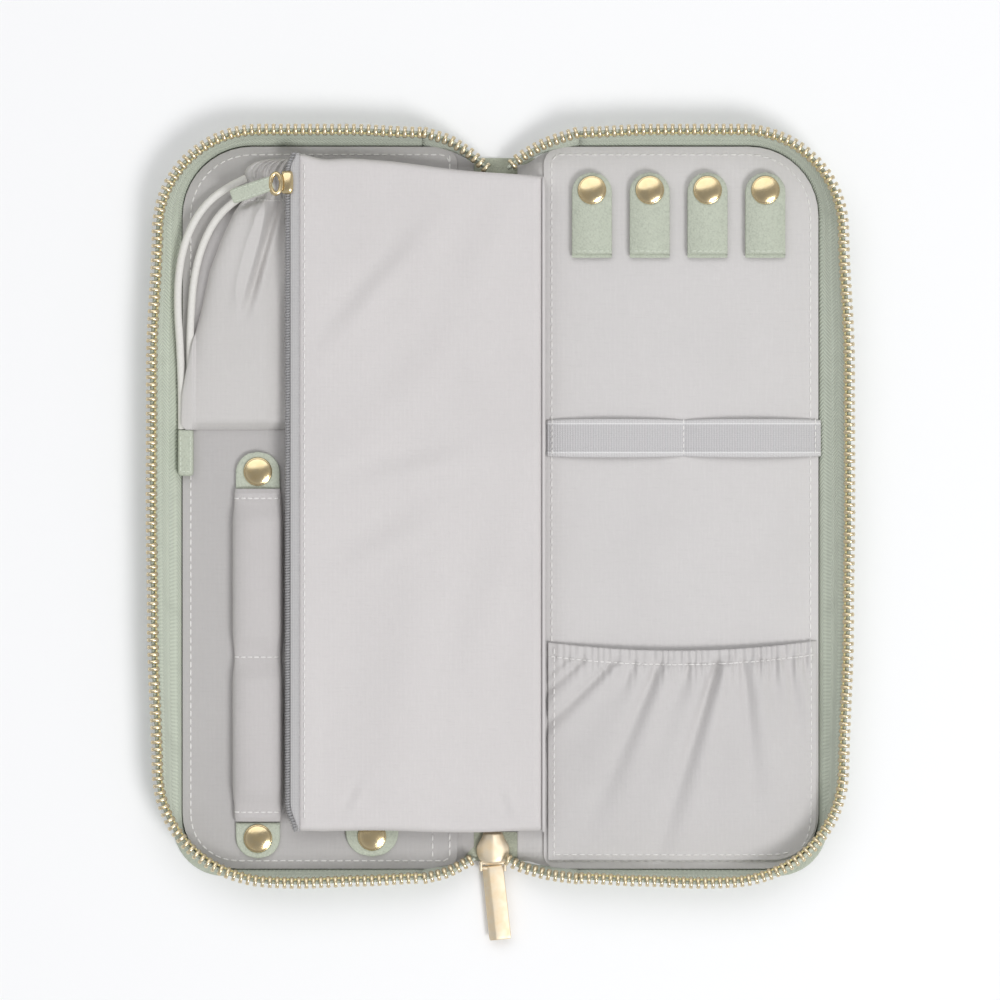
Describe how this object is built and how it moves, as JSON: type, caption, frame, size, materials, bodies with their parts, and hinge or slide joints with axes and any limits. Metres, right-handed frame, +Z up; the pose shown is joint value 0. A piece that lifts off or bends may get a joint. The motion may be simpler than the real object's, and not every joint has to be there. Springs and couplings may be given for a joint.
{
  "type": "jewelry case",
  "caption": "Zip-round travel jewelry case lying open: leather covers, zip-pocket page, snap necklace straps, elastic band, gathered pocket, ring bar and drawstring pouch.",
  "frame": {"origin": "middle of the spine on the surface that the open case lies on", "axes": "+X towards the necklace half, +Y along the spine towards the snap straps, +Z up"},
  "size_m": [0.229, 0.2694, 0.0148],
  "materials": {
    "sage_leather": "pebbled, matt",
    "board": "plain",
    "grey_lining": "fine plain weave",
    "pouch_cloth": "fine plain weave",
    "sage_tape": "herringbone tape",
    "gold_teeth": "polished pale gold",
    "gold_hardware": "polished pale gold",
    "grey_zip": "woven tape and nylon coil",
    "grey_elastic": "ribbed elastic",
    "white_cord": "braided"
  },
  "bodies": {
    "left_half": {"left_cover": "sage_leather", "left_board": "board", "left_lining": "grey_lining", "left_zip_tape": "sage_tape", "left_zip_teeth": "gold_teeth", "left_zip_tail_tapes": "sage_tape", "left_zip_tail_teeth": "gold_teeth", "ring_bar_stud": "gold_hardware", "ring_bar_lower_tab": "sage_leather", "ring_bar_lower_cap": "gold_hardware", "earring_strap": "sage_leather", "earring_cap": "gold_hardware", "drawstring_pouch": "pouch_cloth", "drawstring_outer": "white_cord", "drawstring_inner": "white_cord", "drawstring_tab": "sage_leather"},
    "spine": {"spine_leather": "sage_leather", "spine_lining": "grey_lining", "zip_end_patch": "sage_leather", "zip_slider": "gold_hardware", "slider_bridge": "gold_hardware"},
    "right_half": {"right_cover": "sage_leather", "right_board": "board", "right_lining": "grey_lining", "right_zip_tape": "sage_tape", "right_zip_teeth": "gold_teeth", "right_zip_tail_tapes": "sage_tape", "right_zip_tail_teeth": "gold_teeth", "strap_studs": "gold_hardware", "elastic_band": "grey_elastic", "gathered_pocket": "grey_lining", "pocket_elastic_hem": "grey_lining", "page_gusset": "grey_lining", "strap_back_1": "sage_leather", "strap_back_2": "sage_leather", "strap_back_3": "sage_leather", "strap_back_4": "sage_leather"},
    "page_seam": {"page_piping": "grey_lining", "page_fold_strip": "grey_lining"},
    "page": {"page_front": "grey_lining", "page_back": "grey_lining", "page_seam_allowance": "grey_lining", "page_zip_tapes": "grey_zip", "page_zip_coil": "grey_zip"},
    "pocket_slider": {"pocket_slider": "gold_hardware"},
    "pocket_pull": {"pocket_pull_ring": "gold_hardware", "pocket_pull_tab": "sage_leather"},
    "ring_bar": {"ring_bar_roll": "grey_lining", "ring_bar_upper_tab": "sage_leather", "ring_bar_upper_cap": "gold_hardware"},
    "main_pull": {"main_pull": "gold_hardware"},
    "strap_1": {"strap_flap_1": "sage_leather", "strap_cap_1": "gold_hardware"},
    "strap_2": {"strap_flap_2": "sage_leather", "strap_cap_2": "gold_hardware"},
    "strap_3": {"strap_flap_3": "sage_leather", "strap_cap_3": "gold_hardware"},
    "strap_4": {"strap_flap_4": "sage_leather", "strap_cap_4": "gold_hardware"}
  },
  "joints": [
    {"name": "spine_fold", "type": "hinge", "parent": "left_half", "child": "spine", "pos_m": [-0.0128, 0, 0.0012], "axis": [0, -1, 0], "range_deg": [0, 90], "deforming": ["left_zip_tail_tapes", "left_zip_tail_teeth", "pocket_pull_tab"]},
    {"name": "cover_fold", "type": "hinge", "parent": "spine", "child": "right_half", "pos_m": [0.0128, 0, 0.0012], "axis": [0, -1, 0], "range_deg": [0, 90], "deforming": ["right_zip_tail_tapes", "right_zip_tail_teeth"]},
    {"name": "page_hold", "type": "hinge", "parent": "right_half", "child": "page_seam", "pos_m": [0.0142, 0, 0.01125], "axis": [0, -1, 0], "range_deg": [-180, 0]},
    {"name": "page_turn", "type": "hinge", "parent": "page_seam", "child": "page", "pos_m": [-0.0044, 0, 0.01175], "axis": [0, -1, 0], "range_deg": [-172, 0]},
    {"name": "pocket_slide", "type": "slide", "parent": "page", "child": "pocket_slider", "axis": [0, 1, 0], "range_m": [-0.2, 0]},
    {"name": "pocket_pull_swing", "type": "hinge", "parent": "pocket_slider", "child": "pocket_pull", "pos_m": [-0.07305, 0.1055, 0.0138], "axis": [0, -1, 0], "range_deg": [-170, 0]},
    {"name": "ring_bar_lift", "type": "hinge", "parent": "left_half", "child": "ring_bar", "pos_m": [-0.0802, -0.1048, 0.007], "axis": [-1, 0, 0], "range_deg": [-90, 0]},
    {"name": "main_pull_swing", "type": "hinge", "parent": "spine", "child": "main_pull", "pos_m": [-0.0025, -0.1202, 0.0035], "axis": [1, 0, 0], "range_deg": [-95, 0]},
    {"name": "strap_1_open", "type": "hinge", "parent": "right_half", "child": "strap_1", "pos_m": [0.0302, 0.0826, 0.006], "axis": [-1, 0, 0], "range_deg": [-180, 0]},
    {"name": "strap_2_open", "type": "hinge", "parent": "right_half", "child": "strap_2", "pos_m": [0.0493, 0.0826, 0.006], "axis": [-1, 0, 0], "range_deg": [-180, 0]},
    {"name": "strap_3_open", "type": "hinge", "parent": "right_half", "child": "strap_3", "pos_m": [0.0684, 0.0826, 0.006], "axis": [-1, 0, 0], "range_deg": [-180, 0]},
    {"name": "strap_4_open", "type": "hinge", "parent": "right_half", "child": "strap_4", "pos_m": [0.0875, 0.0826, 0.006], "axis": [-1, 0, 0], "range_deg": [-180, 0]}
  ],
  "couplings": [
    {"joint": "cover_fold", "follows": "spine_fold", "ratio": 1},
    {"joint": "page_hold", "follows": "spine_fold", "ratio": -2}
  ]
}
